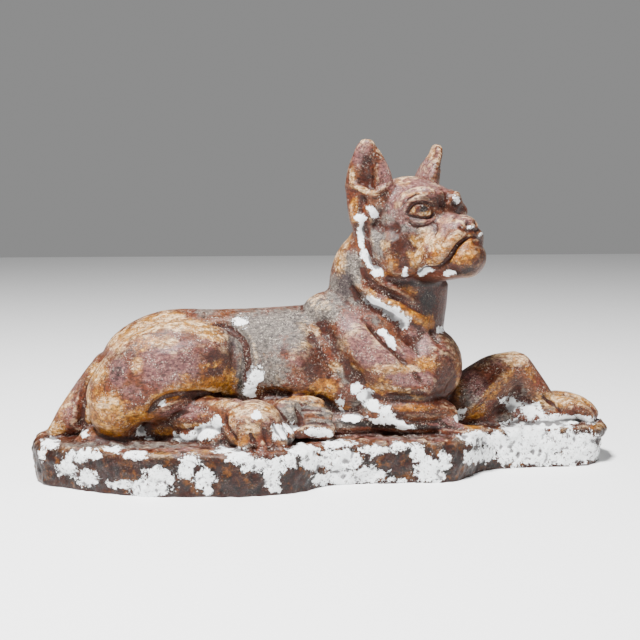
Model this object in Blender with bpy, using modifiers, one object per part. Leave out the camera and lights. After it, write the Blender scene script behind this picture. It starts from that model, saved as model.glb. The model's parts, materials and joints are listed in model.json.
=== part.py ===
"""A reclining dog on a rock base, cast in plaster as one piece.

The dog faces +X, with its head turned towards -Y, and +Z is up. The origin is on the underside of
the base, in the middle of its length and depth. The figure is blocked out from overlapping masses,
fused into one skin, and then carved with strokes, as a clay model for a mould would be.
"""

import math

import bmesh
import bpy
import numpy as np
from mathutils import Euler, Matrix, Vector, noise
from mathutils.bvhtree import BVHTree

# Driving dimensions, in metres. A broken lip at the right end adds about 5 mm to the base's length.
BASE_LENGTH = 0.600
BASE_DEPTH = 0.178
BASE_THICKNESS = 0.042
FIGURE_LENGTH = 0.586

# How finely the clay is worked, in metres
VOXEL = 0.0026
SOLID_TRIANGLES = 9400

# The figure is written in millimetres on a dog 586 mm long, from tail to forepaw, with z = 0 on the
# top of the base. The base's outline is written in millimetres on a base 600 mm by 178 mm.
FIGURE_UNIT = FIGURE_LENGTH / 586
BASE_UNIT_X = BASE_LENGTH / 600
BASE_UNIT_Y = BASE_DEPTH / 178

# The head's own frame: x out through the nose, y to the dog's left, z up through the crown
HEAD_PLACE = (86, -2, 204)
HEAD_YAW, HEAD_PITCH, HEAD_ROLL = -50, 13, -1
HEAD = (
    Matrix.Translation(HEAD_PLACE)
    @ Matrix.Rotation(math.radians(HEAD_YAW), 4, "Z")
    @ Matrix.Rotation(math.radians(-HEAD_PITCH), 4, "Y")
    @ Matrix.Rotation(math.radians(HEAD_ROLL), 4, "X")
)
BODY = Matrix.Identity(4)
RIGHT, LEFT = -1, 1

# Plan of the rock, anticlockwise from its left end
ROCK_PLAN = [
    (-300, 15), (-288, -20), (-255, -42), (-226, -60), (-178, -79), (-131, -84), (-94, -89),
    (-40, -80), (-6, -58), (65, -54), (115, -56), (140, -38), (154, -20), (178, -8), (222, -4),
    (265, -4), (288, 8), (300, 38), (296, 66), (270, 82), (200, 86), (120, 84), (40, 88),
    (-60, 89), (-150, 86), (-230, 84), (-275, 70), (-296, 45),
]


def clear_scene():
    for obj in list(bpy.data.objects):
        bpy.data.objects.remove(obj)


def new_object(name, mesh, collection):
    obj = bpy.data.objects.new(name, mesh)
    collection.objects.link(obj)
    return obj


def smooth_path(points, per_span):
    """Points on a smooth curve through rows of numbers, per_span for each span."""
    rows = np.array(points, float)
    ends = np.vstack([2 * rows[0] - rows[1], rows, 2 * rows[-1] - rows[-2]])
    made = []
    for a, b, c, d in zip(ends, ends[1:], ends[2:], ends[3:]):
        for t in np.arange(per_span) / per_span:
            made.append(
                0.5 * (2 * b + (c - a) * t + (2 * a - 5 * b + 4 * c - d) * t**2
                       + (3 * b - a - 3 * c + d) * t**3)
            )
    return np.array(made + [rows[-1]])


def ball(clay, centre, radii, turn=(0, 0, 0), frame=BODY):
    """A rounded mass: an ellipsoid at centre, turned by degrees about x, y and z."""
    angles = Euler([math.radians(a) for a in turn]).to_matrix().to_4x4()
    place = frame @ Matrix.Translation(centre) @ angles @ Matrix.Diagonal((*radii, 1))
    bmesh.ops.create_icosphere(clay, subdivisions=4, radius=1, matrix=place)


def limb(clay, stations, side=(0, 1, 0), cap=0.9, sides=28, per_span=5, frame=BODY):
    """A long mass lofted through stations (x, y, z, half width, half height), with round ends.

    The width is measured along side, and the height across it.
    """
    rows = smooth_path(stations, per_span)
    rows[:, 3:] = np.maximum(rows[:, 3:], 0.5)
    centres = rows[:, :3]
    tangents = np.gradient(centres, axis=0)
    tangents /= np.linalg.norm(tangents, axis=1)[:, None]
    sections = [(c, t, w, h) for c, t, (w, h) in zip(centres, tangents, rows[:, 3:])]
    for end, sign in ((0, -1), (-1, 1)):
        c, t, w, h = sections[end]
        reach = cap * min(w, h)
        round_end = [
            (c + sign * t * reach * math.sin(a), t, w * math.cos(a), h * math.cos(a))
            for a in np.radians([25, 48, 68, 83])
        ]
        sections = round_end[::-1] + sections if end == 0 else sections + round_end
    rings = []
    for c, t, w, h in sections:
        wide = np.array(side, float)
        wide -= t * (wide @ t)
        wide /= np.linalg.norm(wide)
        high = np.cross(t, wide)
        angles = np.linspace(0, 2 * math.pi, sides, endpoint=False)
        ring = [c + wide * w * math.cos(a) + high * h * math.sin(a) for a in angles]
        rings.append([clay.verts.new(frame @ Vector(p)) for p in ring])
    for low, high in zip(rings, rings[1:]):
        for i in range(sides):
            j = (i + 1) % sides
            clay.faces.new((low[i], low[j], high[j], high[i]))
    clay.faces.new(rings[0][::-1])
    clay.faces.new(rings[-1])


def body_masses(clay):
    """Trunk, rump, withers, chest, neck and tail."""
    limb(clay, [
        (-212, 22, 46, 30, 36), (-190, 22, 58, 38, 52), (-158, 22, 66, 42, 59),
        (-115, 22, 68, 42, 57), (-70, 22, 67, 44, 59), (-20, 22, 66, 48, 63),
        (30, 22, 66, 50, 68), (75, 22, 62, 48, 62), (105, 22, 60, 40, 50),
    ], cap=0.7)
    ball(clay, (-38, 0, 66), (44, 30, 44))
    ball(clay, (4, 12, 118), (32, 28, 26))
    ball(clay, (101, 8, 66), (38, 38, 41))
    limb(clay, [
        (58, 20, 96, 40, 62), (62, 16, 136, 38, 62), (64, 10, 165, 36, 60), (68, 4, 186, 33, 50),
    ])
    limb(clay, [
        (-212, 26, 54, 30, 34), (-238, 20, 32, 24, 27), (-262, 12, 14, 16, 17), (-275, 6, 5, 9, 9),
    ])


def near_hind_leg(clay):
    """The dog's right thigh and folded foot, whose toes hang over the edge of the rock."""
    limb(clay, [
        (-113, -12, 75, 17, 37), (-146, -18, 76, 24, 43), (-180, -20, 62, 27, 46),
        (-206, -20, 42, 26, 38), (-214, -18, 25, 23, 27),
    ], cap=0.9)
    limb(clay, [
        (-166, -6, 20, 15, 20), (-148, -16, 23, 16, 20), (-118, -32, 25, 15, 19), (-98, -44, 25, 17, 20),
    ])
    ball(clay, (-140, -8, 12), (56, 20, 20))
    ball(clay, (-212, -8, 2), (40, 22, 12))
    ball(clay, (-118, -24, 6), (34, 18, 14))
    ball(clay, (-112, -42, 2), (22, 16, 16))
    ball(clay, (-78, -54, 20), (27, 22, 25))
    for start, tip in (
        ((-62, -50, 22), (-46, -54, 6)), ((-66, -60, 18), (-54, -70, 0)),
        ((-77, -65, 16), (-70, -77, -2)), ((-90, -62, 14), (-86, -75, -2)),
    ):
        limb(clay, [(*start, 9, 9), (*tip, 8, 8)])


def far_hind_leg(clay):
    """The left haunch, and the foot that comes out under the belly with its sole towards -Y."""
    limb(clay, [
        (-118, 50, 60, 16, 34), (-150, 54, 66, 20, 38), (-182, 50, 54, 22, 38), (-206, 42, 34, 22, 28),
    ])
    limb(clay, [(-70, 20, 24, 22, 22), (-54, -14, 25, 20, 19), (-50, -30, 24, 14, 15)], side=(1, 0, 0))
    ball(clay, (-38, -20, 15), (28, 17, 20))
    ball(clay, (-47, -38, 29), (15, 12, 14))
    limb(clay, [(-42, -30, 36, 6, 6), (-24, -32, 38, 6, 6), (-13, -32, 35, 5.5, 5.5)])
    limb(clay, [(-38, -36, 27, 6.5, 6.5), (-18, -38, 27.5, 6.5, 6.5), (-5, -38, 24, 6, 6)])
    limb(clay, [(-40, -42, 12, 8.5, 9), (-20, -43, 13, 9, 10), (-6, -43, 11, 8, 9)])


def near_foreleg(clay):
    """The right shoulder, upper arm and forearm, with the paw tucked in front of the chest."""
    limb(clay, [
        (6, -6, 110, 14, 24), (30, -14, 90, 17, 30), (58, -18, 66, 19, 31), (90, -16, 48, 22, 28),
    ])
    ball(clay, (50, -14, 24), (22, 17, 21))
    limb(clay, [(56, -17, 22, 17, 19), (90, -19, 20, 18, 22), (116, -18, 16, 15, 18)])
    limb(clay, [(112, -22, 6, 13, 10), (136, -24, 2, 13, 7), (152, -22, 1, 11, 6)])
    ball(clay, (20, -10, 10), (50, 16, 14))


def far_foreleg(clay):
    """The left foreleg, with its wrist raised and its paw on the front of the rock."""
    limb(clay, [
        (12, 50, 106, 14, 24), (42, 56, 84, 15, 29), (76, 54, 60, 17, 29), (108, 46, 38, 19, 26),
        (138, 38, 18, 20, 24),
    ])
    limb(clay, [
        (140, 34, 14, 22, 26), (158, 32, 28, 21, 30), (180, 31, 48, 19, 25), (202, 30, 59, 16, 18),
    ])
    limb(clay, [(203, 30, 60, 15, 16), (213, 31, 47, 15, 16), (230, 35, 25, 18, 15)])
    ball(clay, (200, 36, 26), (30, 10, 28))
    ball(clay, (178, 28, 2), (36, 14, 12))
    ball(clay, (228, 36, 6), (40, 24, 16))
    ball(clay, (252, 38, 13), (36, 25, 18))
    for y, reach in ((19, 276), (32, 285), (45, 285), (58, 277)):
        limb(clay, [(258, y, 18, 9, 9), (reach - 6, y, 14, 9, 9), (reach + 3, y, 6, 8, 8)])


def head_masses(clay):
    """Skull, cheeks, muzzle, jaw, brows and ears, in the head's own frame.

    The left side differs a little: its ear leans out and is wider, its eye stands out further and its
    brow hangs lower.
    """
    ball(clay, (-6, 0, 17), (45, 39, 40), frame=HEAD)
    ball(clay, (-20, 0, -12), (32, 38, 42), frame=HEAD)
    ball(clay, (16, 0, 18), (32, 39, 28), frame=HEAD)
    limb(clay, [(20, 0, -5, 26, 21), (44, 0, -8, 22, 17), (60, 0, -10, 19, 14)], frame=HEAD)
    ball(clay, (61, 0, -10), (12, 15, 11), frame=HEAD)
    ball(clay, (60, 0, -22), (14, 17, 12), frame=HEAD)
    ball(clay, (57, 0, -38), (20, 21, 20), frame=HEAD)
    limb(clay, [(0, 0, -34, 30, 20), (30, 0, -38, 25, 18), (50, 0, -40, 21, 17)], frame=HEAD)
    for s in (RIGHT, LEFT):
        lean, out, drop, wide = (12, 4, 8, 3) if s == LEFT else (0, 0, 0, 0)
        ball(clay, (-8, 26 * s, -20), (27, 19, 30), frame=HEAD)
        ball(clay, (12, 20 * s, -4), (28, 18, 20), frame=HEAD)
        limb(clay, [
            (62, 7 * s, -15, 11, 9), (51, 14 * s, -21, 14, 17), (38, 19 * s, -27, 13, 18),
            (24, 24 * s, -34, 9, 14),
        ], frame=HEAD)
        limb(clay, [
            (44, 10 * s, 24, 8, 8), (37, 24 * s, 25 - drop, 9, 9), (20, 34 * s, 21 - drop, 8, 9),
        ], side=(1, 0, 0), frame=HEAD)
        ball(clay, (33 + out, (23 + out) * s, 12), (10, 11, 10), frame=HEAD)
        limb(clay, [
            (-31, 46 * s, 6, 8, 8), (-24, 45 * s, 25, 17, 11), (-16, (41 + lean / 3) * s, 45, 25, 11),
            (-10, (44 + lean / 2) * s, 66, 21 + wide, 9), (-5, (48 + lean) * s, 82, 13 + wide, 6),
            (-2, (49 + lean) * s, 89, 8 + wide, 5),
        ], side=(0.88, -0.47 * s, 0), frame=HEAD)


def rock(clay):
    """The rock slab, lofted up through its plan, with a rounded upper edge."""
    closed = ROCK_PLAN + ROCK_PLAN[:1]
    plan = smooth_path(closed, 5)[:-1]
    thick = BASE_THICKNESS / FIGURE_UNIT
    rings = []
    levels = (
        (-thick - 8, 5), (-thick + 6, 3), (-0.6 * thick, 0), (-0.2 * thick, 0), (-3, 2), (0, 8),
    )
    for height, inset in levels:
        ring = []
        for x, y in plan:
            out = Vector((x, y)).normalized()
            ring.append(clay.verts.new((
                (x - out.x * inset) * BASE_UNIT_X / FIGURE_UNIT,
                (y - out.y * inset) * BASE_UNIT_Y / FIGURE_UNIT,
                height,
            )))
        rings.append(ring)
    count = len(plan)
    for low, high in zip(rings, rings[1:]):
        for i in range(count):
            j = (i + 1) % count
            clay.faces.new((low[i], low[j], high[j], high[i]))
    clay.faces.new(rings[0][::-1])
    clay.faces.new(rings[-1])


def evaluated_mesh(obj):
    graph = bpy.context.evaluated_depsgraph_get()
    return bpy.data.meshes.new_from_object(obj.evaluated_get(graph))


def fused_skin(collection):
    """All the masses as one closed skin, in millimetres of the figure, with softened joints."""
    clay = bmesh.new()
    for build in (rock, body_masses, near_hind_leg, far_hind_leg, near_foreleg, far_foreleg, head_masses):
        build(clay)
    bmesh.ops.recalc_face_normals(clay, faces=clay.faces)
    mesh = bpy.data.meshes.new("masses")
    clay.to_mesh(mesh)
    clay.free()
    masses = new_object("masses", mesh, collection)
    remesh = masses.modifiers.new("fuse", "REMESH")
    remesh.mode = "VOXEL"
    remesh.voxel_size = VOXEL / FIGURE_UNIT
    soften = masses.modifiers.new("soften", "SMOOTH")
    soften.factor = 0.5
    soften.iterations = 6
    bpy.context.view_layer.update()
    skin = evaluated_mesh(masses)
    bpy.data.objects.remove(masses)
    return skin


def roughen_rock(points):
    """Moves the points of the rock's sides and rim in and out, into lumps and ledges."""
    for point in points[points[:, 2] < 6]:
        place = Vector(point)
        deep = min(1, max(0, (6 - point[2]) / 10))
        flat = Vector((point[0], point[1] - 10, 0)).normalized()
        lumps = noise.noise(place / 34) * 5 + noise.noise(place / 13 + Vector((7, 3, 1))) * 2.5
        point[:2] += np.array(flat.xy) * lumps * deep
        point[2] += noise.noise(place / 24 + Vector((0, 9, 4))) * 2


class Skin:
    """The fused skin as arrays of points and normals, so that it can be worked."""

    def __init__(self, mesh):
        self.mesh = mesh
        self.points = np.empty(len(mesh.vertices) * 3)
        mesh.vertices.foreach_get("co", self.points)
        self.points = self.points.reshape(-1, 3)
        self.edges = np.empty(len(mesh.edges) * 2, int)
        mesh.edges.foreach_get("vertices", self.edges)
        self.edges = self.edges.reshape(-1, 2)
        self.refresh()

    def refresh(self):
        """Puts the points back into the mesh and takes the normals from it."""
        self.mesh.vertices.foreach_set("co", self.points.ravel())
        self.mesh.update()
        normals = np.empty(len(self.points) * 3)
        self.mesh.vertex_normals.foreach_get("vector", normals)
        self.normals = normals.reshape(-1, 3)
        faces = [tuple(face.vertices) for face in self.mesh.polygons]
        self.tree = BVHTree.FromPolygons(self.points.tolist(), faces)

    def relax(self, centre, reach, times, frame=BODY):
        """Smooths the skin within reach of centre, less and less towards the rim."""
        away = np.linalg.norm(self.points - np.array(frame @ Vector(centre)), axis=1) / reach
        weight = 0.5 * np.clip(1 - away**2, 0, 1)
        ends = self.edges[(weight[self.edges] > 0).any(axis=1)]
        a, b = np.concatenate([ends, ends[:, ::-1]]).T
        count = np.maximum(np.bincount(a, minlength=len(self.points)), 1)
        for _ in range(times):
            mean = [np.bincount(a, self.points[b, axis], len(self.points)) / count for axis in range(3)]
            self.points += weight[:, None] * (np.stack(mean, axis=1) - self.points)

    def stroke(self, width, height, points, frame=BODY, side=1):
        """Raises the skin by height along a path, or cuts it if the height is negative.

        The path is laid on the nearest skin, and the stroke fades towards its ends. With a side
        of -1 the path is taken over to the other side of the frame.
        """
        touched = [self.tree.find_nearest(frame @ Vector((x, y * side, z)))[:2] for x, y, z in points]
        path = smooth_path([(*place, *normal) for place, normal in touched], 4)
        low, high = path[:, :3].min(axis=0) - width, path[:, :3].max(axis=0) + width
        near = np.flatnonzero(((self.points > low) & (self.points < high)).all(axis=1))
        place = self.points[near]
        best = np.full(len(near), np.inf)
        lift = np.zeros(len(near))
        for i, (start, end) in enumerate(zip(path, path[1:])):
            span = end[:3] - start[:3]
            along = np.clip((place - start[:3]) @ span / max(span @ span, 1e-9), 0, 1)
            away = np.linalg.norm(place - start[:3] - along[:, None] * span, axis=1)
            through = (i + along) / (len(path) - 1)
            fade = np.clip(np.minimum(through, 1 - through) * 5 + 0.25, 0, 1)
            facing = np.clip(self.normals[near] @ start[3:] * 1.5, 0, 1)
            closer = away < best
            best[closer] = away[closer]
            lift[closer] = (fade * facing)[closer]
        lift *= height * np.clip(1 - (best / width) ** 2, 0, 1) ** 2
        self.points[near] += self.normals[near] * lift[:, None]


# Each stroke is its width, its height and the points of its path. The head's paths lie on the
# dog's right side, and are carved on both sides.
EAR_STROKES = [
    (13, -5, [(1, -50, 74), (-6, -52, 66), (-9, -52, 56), (-9, -50, 48)]),
    (8, -5, [(-5, -49, 58), (-7, -49, 50), (-9, -50, 45)]),
    (9, -5, [(-12, -51, 36), (-17, -53, 33), (-20, -55, 27), (-19, -54, 20)]),
    (5, 3, [(-26, -56, 53), (-19, -55, 50), (-14, -53, 45), (-9, -50, 40), (-4, -46, 39),
            (1, -42, 42), (7, -36, 47)]),
    (5, 2, [(2, -45, 68), (0, -46, 57), (0, -44, 47)]),
]
FACE_FORMS = [
    (12, -5, [(19, -36, -11), (12, -39, -21), (8, -39, -32), (5, -33, -42)]),
    (12, -3, [(0, -38, 2), (13, -38, -3), (25, -35, -7), (32, -32, -6)]),
    (8, 3.5, [(18, -38, 26), (25, -33, 31), (33, -28, 33), (42, -25, 31), (48, -17, 29)]),
    (6, 2.5, [(49, -15, 30), (52, -13, 24), (53, -10, 17)]),
    (7, -4, [(50, -14, 25), (49, -11, 20), (44, -8, 15)]),
    (9, 3, [(68, -14, -15), (63, -21, -19), (56, -26, -27), (48, -28, -34), (36, -29, -36)]),
    (8, -3, [(-15, -40, -44), (-7, -34, -48), (-1, -27, -50), (11, -16, -52)]),
    (7, -5, [(-18, -51, 18), (-22, -50, 0), (-21, -50, -14), (-20, -49, -26), (-16, -43, -37)]),
    (9, -2, [(46, -6, 34), (44, -2, 26), (46, 0, 18)]),
]
FACE_LINES = [
    (4, -2, [(68, -13, -23), (73, -5, -20), (74, 3, -20), (70, 12, -22)]),
    (6, -5.5, [(73, 0, -19), (72, -7, -20), (69, -13, -23), (65, -18, -26), (61, -21, -31), (56, -22, -36),
               (49, -23, -41), (41, -24, -44), (29, -30, -43), (17, -25, -45), (8, -23, -46)]),
    (3, -2.5, [(22, -34, 14), (27, -35, 18), (33, -33, 21), (40, -27, 21), (44, -20, 15)]),
    (3, -2.2, [(22, -34, 13), (29, -33, 8), (36, -30, 6), (41, -22, 6), (44, -18, 10)]),
    (3.5, 2.4, [(22, -36, 17), (28, -36, 22), (35, -32, 25), (42, -25, 24)]),
    (3.5, 2, [(24, -34, 7), (31, -32, 3), (38, -26, 2), (43, -19, 5)]),
    (3, -1.8, [(22, -38, 20), (29, -36, 26), (37, -31, 28)]),
    (5, -2, [(20, -35, 5), (28, -34, -1), (35, -29, -1), (40, -22, 2)]),
    (4, -3, [(71, -9, -6), (72, -6, -8), (72, -4, -9)]),
    (4, -2.5, [(67, -15, -8), (69, -13, -12), (71, -7, -14), (72, 0, -14)]),
    (3, -1.5, [(60, -14, -2), (59, -8, 2), (59, 0, 4)]),
    (5, -1.5, [(40, -18, 1), (45, -22, -8), (46, -29, -18)]),
]
BODY_FORMS = [
    (8, 4, [(21, -15, 168), (27, -18, 153), (35, -20, 145), (46, -21, 137), (61, -21, 131),
            (75, -19, 123), (88, -15, 116), (100, -9, 107)]),
    (8, -3.5, [(29, -19, 174), (34, -21, 161), (44, -22, 149), (56, -23, 142), (69, -21, 137)]),
    (6, 2.5, [(52, -24, 154), (64, -23, 147), (77, -21, 139), (86, -17, 131)]),
    (10, -3.5, [(27, -17, 140), (37, -19, 131), (53, -21, 123), (67, -20, 112), (75, -18, 104)]),
    (7, -3, [(19, -14, 151), (23, -15, 143), (27, -16, 134)]),
    (24, 4, [(14, -21, 115), (27, -30, 93), (45, -34, 77), (63, -36, 60)]),
    (16, -6, [(-14, -12, 118), (-5, -19, 101), (2, -25, 86), (10, -27, 72), (20, -27, 60), (32, -27, 50)]),
    (18, 3, [(-34, -23, 94), (-32, -27, 83), (-26, -29, 67)]),
    (10, -4, [(-26, -11, 110), (-17, -20, 97), (-10, -24, 84), (-4, -27, 68), (0, -26, 54)]),
    (9, -4, [(-69, -18, 42), (-52, -25, 44), (-32, -25, 40), (-12, -22, 37), (7, -18, 26)]),
    (8, -3, [(52, -30, 44), (66, -31, 41), (81, -34, 40), (99, -28, 40), (114, -12, 40)]),
    (9, -4, [(128, -13, 62), (124, -20, 45), (122, -22, 26)]),
    (7, 3, [(141, 12, 15), (154, 11, 26), (164, 11, 36), (177, 12, 48), (192, 14, 60)]),
    (9, -5, [(-140, -14, 122), (-120, -8, 118), (-104, -6, 110), (-90, -8, 98), (-84, -10, 84),
             (-83, -12, 68), (-88, -14, 52)]),
    (8, -5, [(-99, -30, 42), (-116, -17, 44), (-140, -35, 48), (-161, -43, 46), (-173, -44, 38),
             (-180, -41, 28)]),
    (8, -5, [(-246, -4, 2), (-248, -1, 14), (-246, -2, 34), (-241, 3, 53), (-228, -16, 76)]),
    (12, 3, [(-168, -46, 84), (-145, -41, 90), (-120, -28, 92), (-104, -22, 80)]),
    (9, 5, [(278, -8, -6), (296, 8, -6), (303, 30, -7), (300, 55, -6)]),
]
BODY_LINES = [
    (6, -5, [(32, -22, 116), (44, -27, 104), (51, -30, 96), (59, -31, 88), (67, -33, 80), (75, -34, 72)]),
    (9, -2.5, [(77, -34, 70), (87, -35, 58), (102, -30, 49), (119, -20, 49)]),
    (7, -3.5, [(102, -8, 106), (105, -12, 98), (109, -18, 90)]),
    (7, -3, [(59, -33, 22), (77, -35, 16), (98, -34, 15), (114, -31, 17)]),
    (4, -3, [(108, -36, 12), (121, -36, 11), (134, -34, 10)]),
    (6, -1.5, [(-162, -30, 24), (-140, -34, 30), (-119, -45, 36)]),
    (5, -5, [(-93, -70, 30), (-95, -71, 17), (-91, -78, 2)]),
    (5, -5, [(-78, -72, 34), (-78, -76, 22), (-75, -80, 0)]),
    (5, -5, [(-66, -68, 35), (-61, -70, 26), (-55, -69, 10)]),
    (5, 2, [(-101, -58, 36), (-106, -60, 23)]),
    (5, 2, [(-86, -66, 39), (-87, -73, 27), (-84, -75, 12)]),
    (5, 2, [(-72, -67, 39), (-69, -73, 29), (-66, -74, 14)]),
    (4, -3, [(-33, -44, 32), (-20, -44, 33.5), (-9, -44, 31)]),
    (4, -3.5, [(-42, -50, 18), (-32, -50, 22), (-16, -50, 22.5), (-2, -50, 19)]),
    (5, -4, [(-33, -50, 42), (-31, -50, 33), (-33, -50, 24), (-41, -50, 17)]),
    (5, -3.5, [(227, 18, 30), (240, 15, 22), (250, 12, 10)]),
    (5, -3.5, [(252, 30, 29), (266, 26, 24), (280, 24, 10)]),
    (5, -3.5, [(256, 42, 30), (270, 40, 24), (286, 39, 10)]),
    (5, -3.5, [(252, 54, 27), (266, 53, 21), (280, 51, 10)]),
]
SOFTENED = [
    (BODY, (-90, 10, 40), 60, 12), (BODY, (40, 0, 100), 70, 14), (BODY, (100, 0, 50), 60, 10),
    (BODY, (-200, 0, 40), 70, 10), (BODY, (180, 30, 30), 50, 8), (BODY, (60, 10, 150), 60, 14),
    (HEAD, (10, 0, 10), 62, 10), (HEAD, (30, 0, -30), 40, 6),
]


def carved(mesh):
    """Works the fused skin: soft joints first, then the forms, then the lines."""
    skin = Skin(mesh)
    for frame, centre, reach, times in SOFTENED:
        skin.relax(centre, reach, times, frame)
    roughen_rock(skin.points)
    for body, head in ((BODY_FORMS, FACE_FORMS + EAR_STROKES), (BODY_LINES, FACE_LINES)):
        skin.refresh()
        for width, height, path in body:
            skin.stroke(width, height, path)
        for width, height, path in head:
            for side in (1, -1):
                skin.stroke(width, height, path, HEAD, side)
    skin.refresh()


def centring(mesh):
    """The move that brings the middle of the mesh's length and depth to x = 0 and y = 0."""
    points = np.array([vert.co for vert in mesh.vertices])
    middle = (points.min(axis=0) + points.max(axis=0)) / 2
    return Matrix.Translation((-middle[0], -middle[1], 0))


def cut_flat(mesh):
    """Cuts the skin off level with the underside and closes it with a flat face."""
    work = bmesh.new()
    work.from_mesh(mesh)
    geometry = work.verts[:] + work.edges[:] + work.faces[:]
    bmesh.ops.bisect_plane(
        work, geom=geometry, plane_co=(0, 0, 0), plane_no=(0, 0, 1), clear_inner=True,
    )
    bmesh.ops.holes_fill(work, edges=[edge for edge in work.edges if edge.is_boundary])
    for vert in work.verts:
        if abs(vert.co.z) < 1e-6:
            vert.co.z = 0
    bmesh.ops.triangulate(work, faces=work.faces)
    bmesh.ops.recalc_face_normals(work, faces=work.faces)
    work.to_mesh(mesh)
    work.free()


def main():
    clear_scene()
    collection = bpy.data.collections.new("dog statue")
    bpy.context.scene.collection.children.link(collection)
    skin = fused_skin(collection)
    carved(skin)
    skin.transform(centring(skin))
    skin.transform(Matrix.Translation((0, 0, BASE_THICKNESS)) @ Matrix.Scale(FIGURE_UNIT, 4))
    worked = new_object("worked", skin, collection)
    thin = worked.modifiers.new("thin", "DECIMATE")
    triangles = sum(len(face.vertices) - 2 for face in skin.polygons)
    thin.ratio = SOLID_TRIANGLES / triangles
    bpy.context.view_layer.update()
    solid = evaluated_mesh(worked)
    bpy.data.objects.remove(worked)
    cut_flat(solid)
    solid.shade_smooth()
    statue = new_object("dog_statue", solid, collection)
    finish = bpy.data.materials.new("brown finish on plaster")
    finish.use_nodes = True
    shader = finish.node_tree.nodes["Principled BSDF"]
    shader.inputs["Base Color"].default_value = (0.26, 0.14, 0.08, 1)
    shader.inputs["Roughness"].default_value = 0.5
    shader.inputs["Metallic"].default_value = 0
    statue.data.materials.append(finish)


main()
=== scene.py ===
# %% [markdown]
# # A plaster dog with a worn brown finish
# An old cast of a lying dog on a rocky base. The finish has turned amber, brown and dusty mauve,
# and has flaked off in places, down to white plaster. The CAD frame is loaded first, because it
# fixes where the statue stands, and the sculpted piece made here takes the CAD solid's place.

# %% Load the frame
import math

import bmesh
import bpy
import json
import numpy as np
from mathutils import Euler, Matrix, Vector, noise
from mathutils.bvhtree import BVHTree

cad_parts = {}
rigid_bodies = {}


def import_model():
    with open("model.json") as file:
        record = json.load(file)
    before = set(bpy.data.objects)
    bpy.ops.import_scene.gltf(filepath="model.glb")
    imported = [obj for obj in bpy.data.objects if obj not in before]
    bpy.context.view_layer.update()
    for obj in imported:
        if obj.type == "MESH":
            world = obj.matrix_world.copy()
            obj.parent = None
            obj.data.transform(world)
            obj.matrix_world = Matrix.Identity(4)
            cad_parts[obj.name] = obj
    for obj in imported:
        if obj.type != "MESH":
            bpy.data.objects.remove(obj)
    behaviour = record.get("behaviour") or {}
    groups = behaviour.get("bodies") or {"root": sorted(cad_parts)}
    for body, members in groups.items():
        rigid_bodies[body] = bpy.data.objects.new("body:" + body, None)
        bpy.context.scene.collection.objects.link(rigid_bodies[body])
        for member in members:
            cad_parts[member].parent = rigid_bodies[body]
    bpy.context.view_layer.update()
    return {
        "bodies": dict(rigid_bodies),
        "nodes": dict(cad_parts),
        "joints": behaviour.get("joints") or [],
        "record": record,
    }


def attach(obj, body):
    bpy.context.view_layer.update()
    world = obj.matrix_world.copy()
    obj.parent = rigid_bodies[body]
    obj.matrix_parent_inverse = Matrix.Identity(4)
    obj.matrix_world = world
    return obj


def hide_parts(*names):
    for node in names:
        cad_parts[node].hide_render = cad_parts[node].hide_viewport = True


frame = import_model()

# %% [markdown]
# ## Blocking out: masses like lumps of clay
# A figure like this could be sculpted by hand in Sculpt Mode, but a script can't hold a brush.
# It can do what a sculptor does first: press simple lumps together. An ellipsoid makes a skull or
# a knee, and a loft through oval sections makes a leg. All sizes are in millimetres, with z = 0 on
# top of the rock, so they can be read off a photograph with a ruler.

# %% Two kinds of lump
BODY = Matrix.Identity(4)
RIGHT, LEFT = -1, 1


def smooth_path(points, per_span):
    """Points on a smooth curve through rows of numbers, per_span for each span."""
    rows = np.array(points, float)
    ends = np.vstack([2 * rows[0] - rows[1], rows, 2 * rows[-1] - rows[-2]])
    made = []
    for a, b, c, d in zip(ends, ends[1:], ends[2:], ends[3:]):
        for t in np.arange(per_span) / per_span:
            made.append(
                0.5 * (2 * b + (c - a) * t + (2 * a - 5 * b + 4 * c - d) * t**2
                       + (3 * b - a - 3 * c + d) * t**3)
            )
    return np.array(made + [rows[-1]])


def ball(clay, centre, radii, turn=(0, 0, 0), frame=BODY):
    """A rounded mass: an ellipsoid at centre, turned by degrees about x, y and z."""
    angles = Euler([math.radians(a) for a in turn]).to_matrix().to_4x4()
    place = frame @ Matrix.Translation(centre) @ angles @ Matrix.Diagonal((*radii, 1))
    bmesh.ops.create_icosphere(clay, subdivisions=4, radius=1, matrix=place)


def limb(clay, stations, side=(0, 1, 0), cap=0.9, sides=28, per_span=5, frame=BODY):
    """A long mass lofted through stations (x, y, z, half width, half height), with round ends.

    The width is measured along side, and the height across it.
    """
    rows = smooth_path(stations, per_span)
    rows[:, 3:] = np.maximum(rows[:, 3:], 0.5)
    centres = rows[:, :3]
    tangents = np.gradient(centres, axis=0)
    tangents /= np.linalg.norm(tangents, axis=1)[:, None]
    sections = [(c, t, w, h) for c, t, (w, h) in zip(centres, tangents, rows[:, 3:])]
    for end, sign in ((0, -1), (-1, 1)):
        c, t, w, h = sections[end]
        reach = cap * min(w, h)
        round_end = [
            (c + sign * t * reach * math.sin(a), t, w * math.cos(a), h * math.cos(a))
            for a in np.radians([25, 48, 68, 83])
        ]
        sections = round_end[::-1] + sections if end == 0 else sections + round_end
    rings = []
    for c, t, w, h in sections:
        wide = np.array(side, float)
        wide -= t * (wide @ t)
        wide /= np.linalg.norm(wide)
        high = np.cross(t, wide)
        angles = np.linspace(0, 2 * math.pi, sides, endpoint=False)
        ring = [c + wide * w * math.cos(a) + high * h * math.sin(a) for a in angles]
        rings.append([clay.verts.new(frame @ Vector(p)) for p in ring])
    for low, high in zip(rings, rings[1:]):
        for i in range(sides):
            j = (i + 1) % sides
            clay.faces.new((low[i], low[j], high[j], high[i]))
    clay.faces.new(rings[0][::-1])
    clay.faces.new(rings[-1])


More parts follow.
